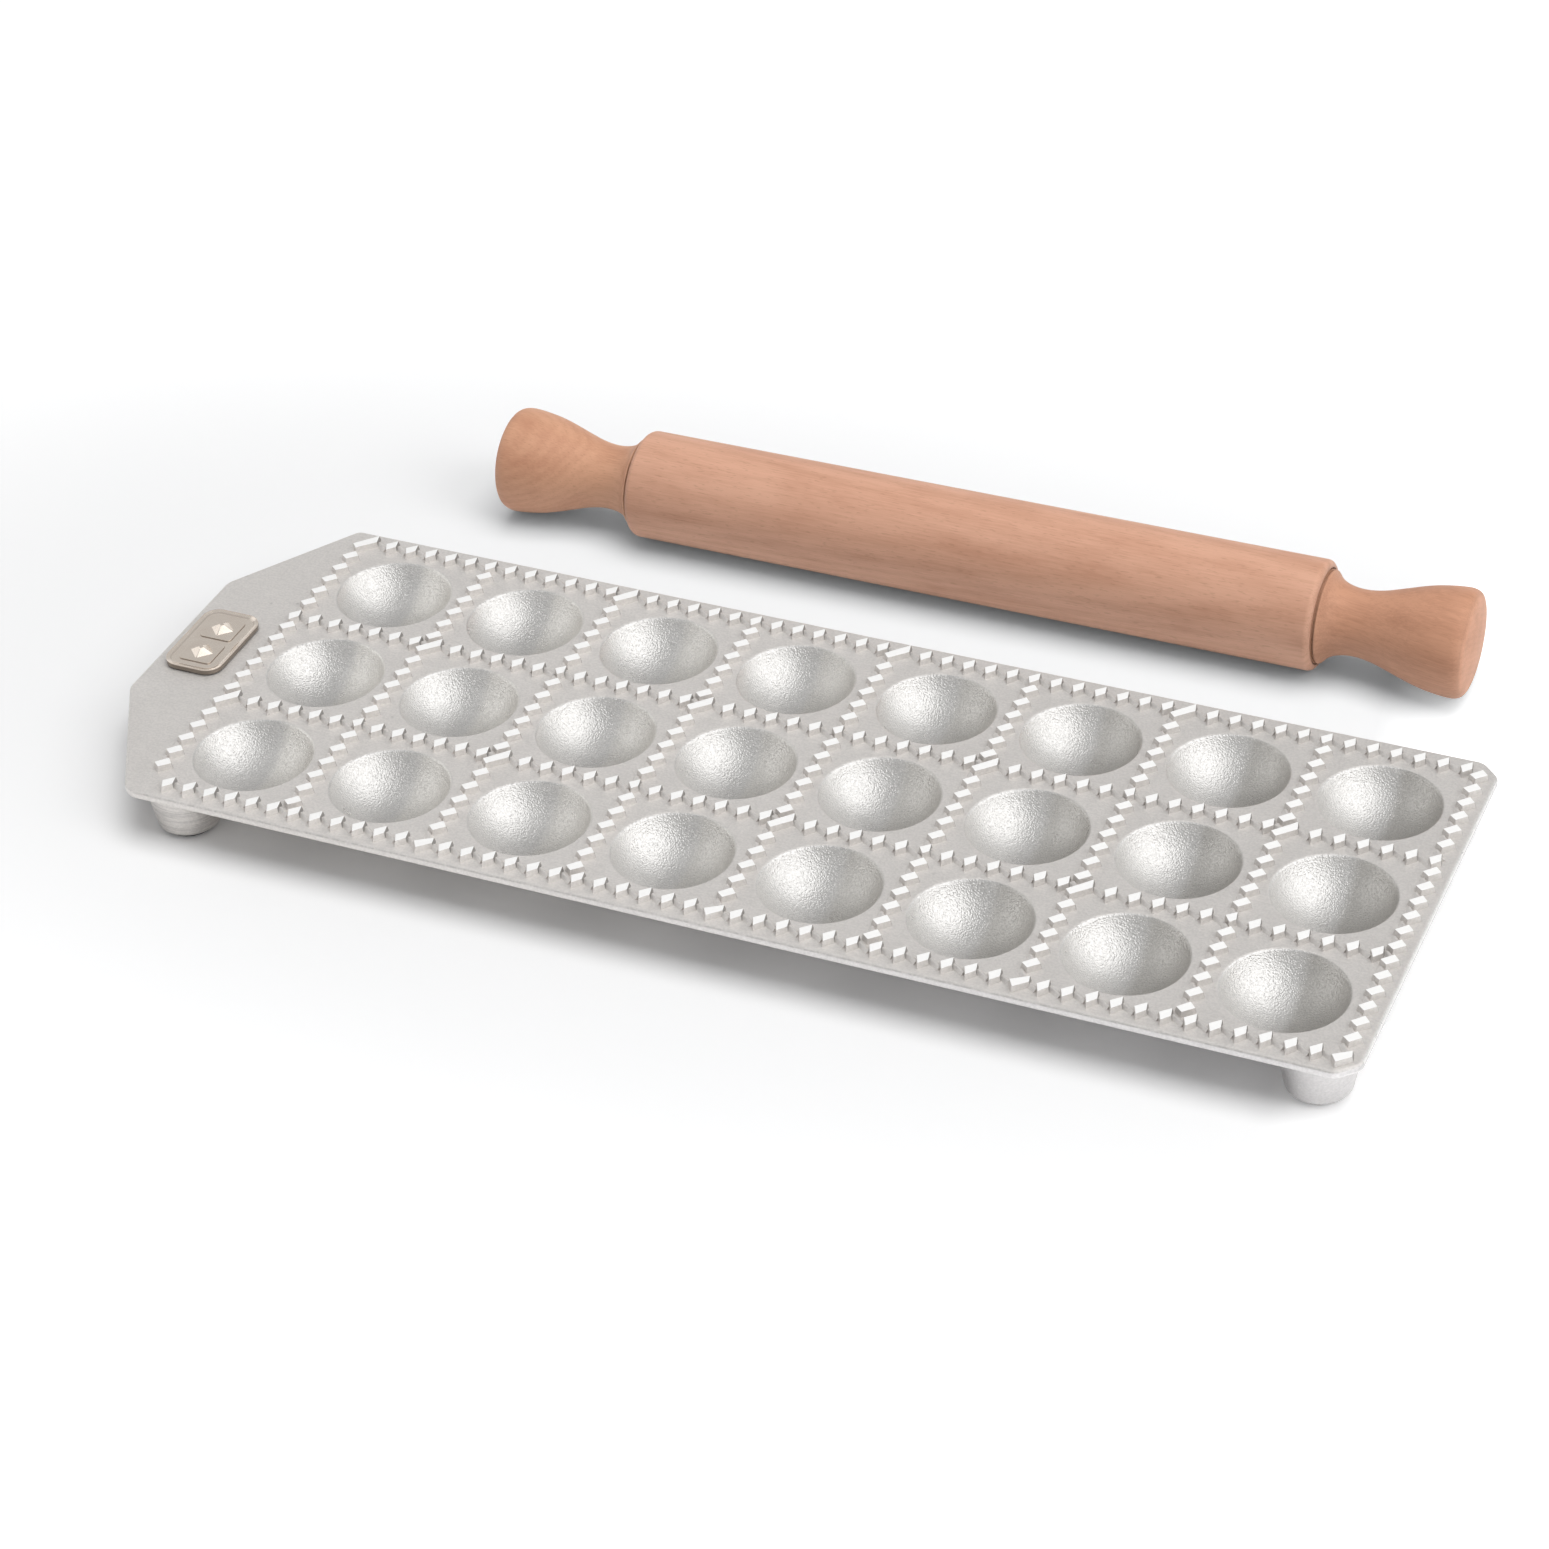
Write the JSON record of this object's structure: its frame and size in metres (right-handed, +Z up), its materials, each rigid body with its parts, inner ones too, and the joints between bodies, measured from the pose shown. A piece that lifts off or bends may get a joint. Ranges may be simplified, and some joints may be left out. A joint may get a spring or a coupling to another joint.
{
  "type": "ravioli mould with rolling pin",
  "caption": "Cast metal ravioli mould with round cups in a lattice of zigzag cutting teeth on short feet, and a small wooden rolling pin with waisted handles lying behind it.",
  "frame": {"origin": "middle of the footprint of the mould and the rolling pin together, on the table plane", "axes": "+X along the mould's length, away from its tab, and along the pin's axis; +Y towards the rolling pin; +Z up"},
  "size_m": [0.3168, 0.177, 0.0275],
  "materials": {
    "cast_aluminium": "satin casting, bright milled tooth tops",
    "badge_nickel": "polished",
    "pad_rubber": "matte",
    "beech_barrel": "bare sanded",
    "beech_handle": "bare sanded",
    "axle_steel": "plain",
    "bush_nylon": "matte"
  },
  "bodies": {
    "mould": {"mould_plate": "cast_aluminium", "badge": "badge_nickel", "foot_pad_1": "pad_rubber", "foot_pad_2": "pad_rubber", "foot_pad_3": "pad_rubber", "foot_pad_4": "pad_rubber"},
    "pin_core": {"axle": "axle_steel", "handle_left": "beech_handle", "handle_right": "beech_handle"},
    "pin_barrel": {"barrel": "beech_barrel", "bush_left": "bush_nylon", "bush_right": "bush_nylon"}
  },
  "joints": [
    {"name": "pin_lift", "type": "slide", "parent": "mould", "child": "pin_core", "axis": [0, 0, 1], "range_m": [0, 0.15]},
    {"name": "barrel_spin", "type": "hinge", "parent": "pin_core", "child": "pin_barrel", "pos_m": [0.0113, 0.07472, 0.01375], "axis": [1, 0, 0], "continuous": true}
  ]
}
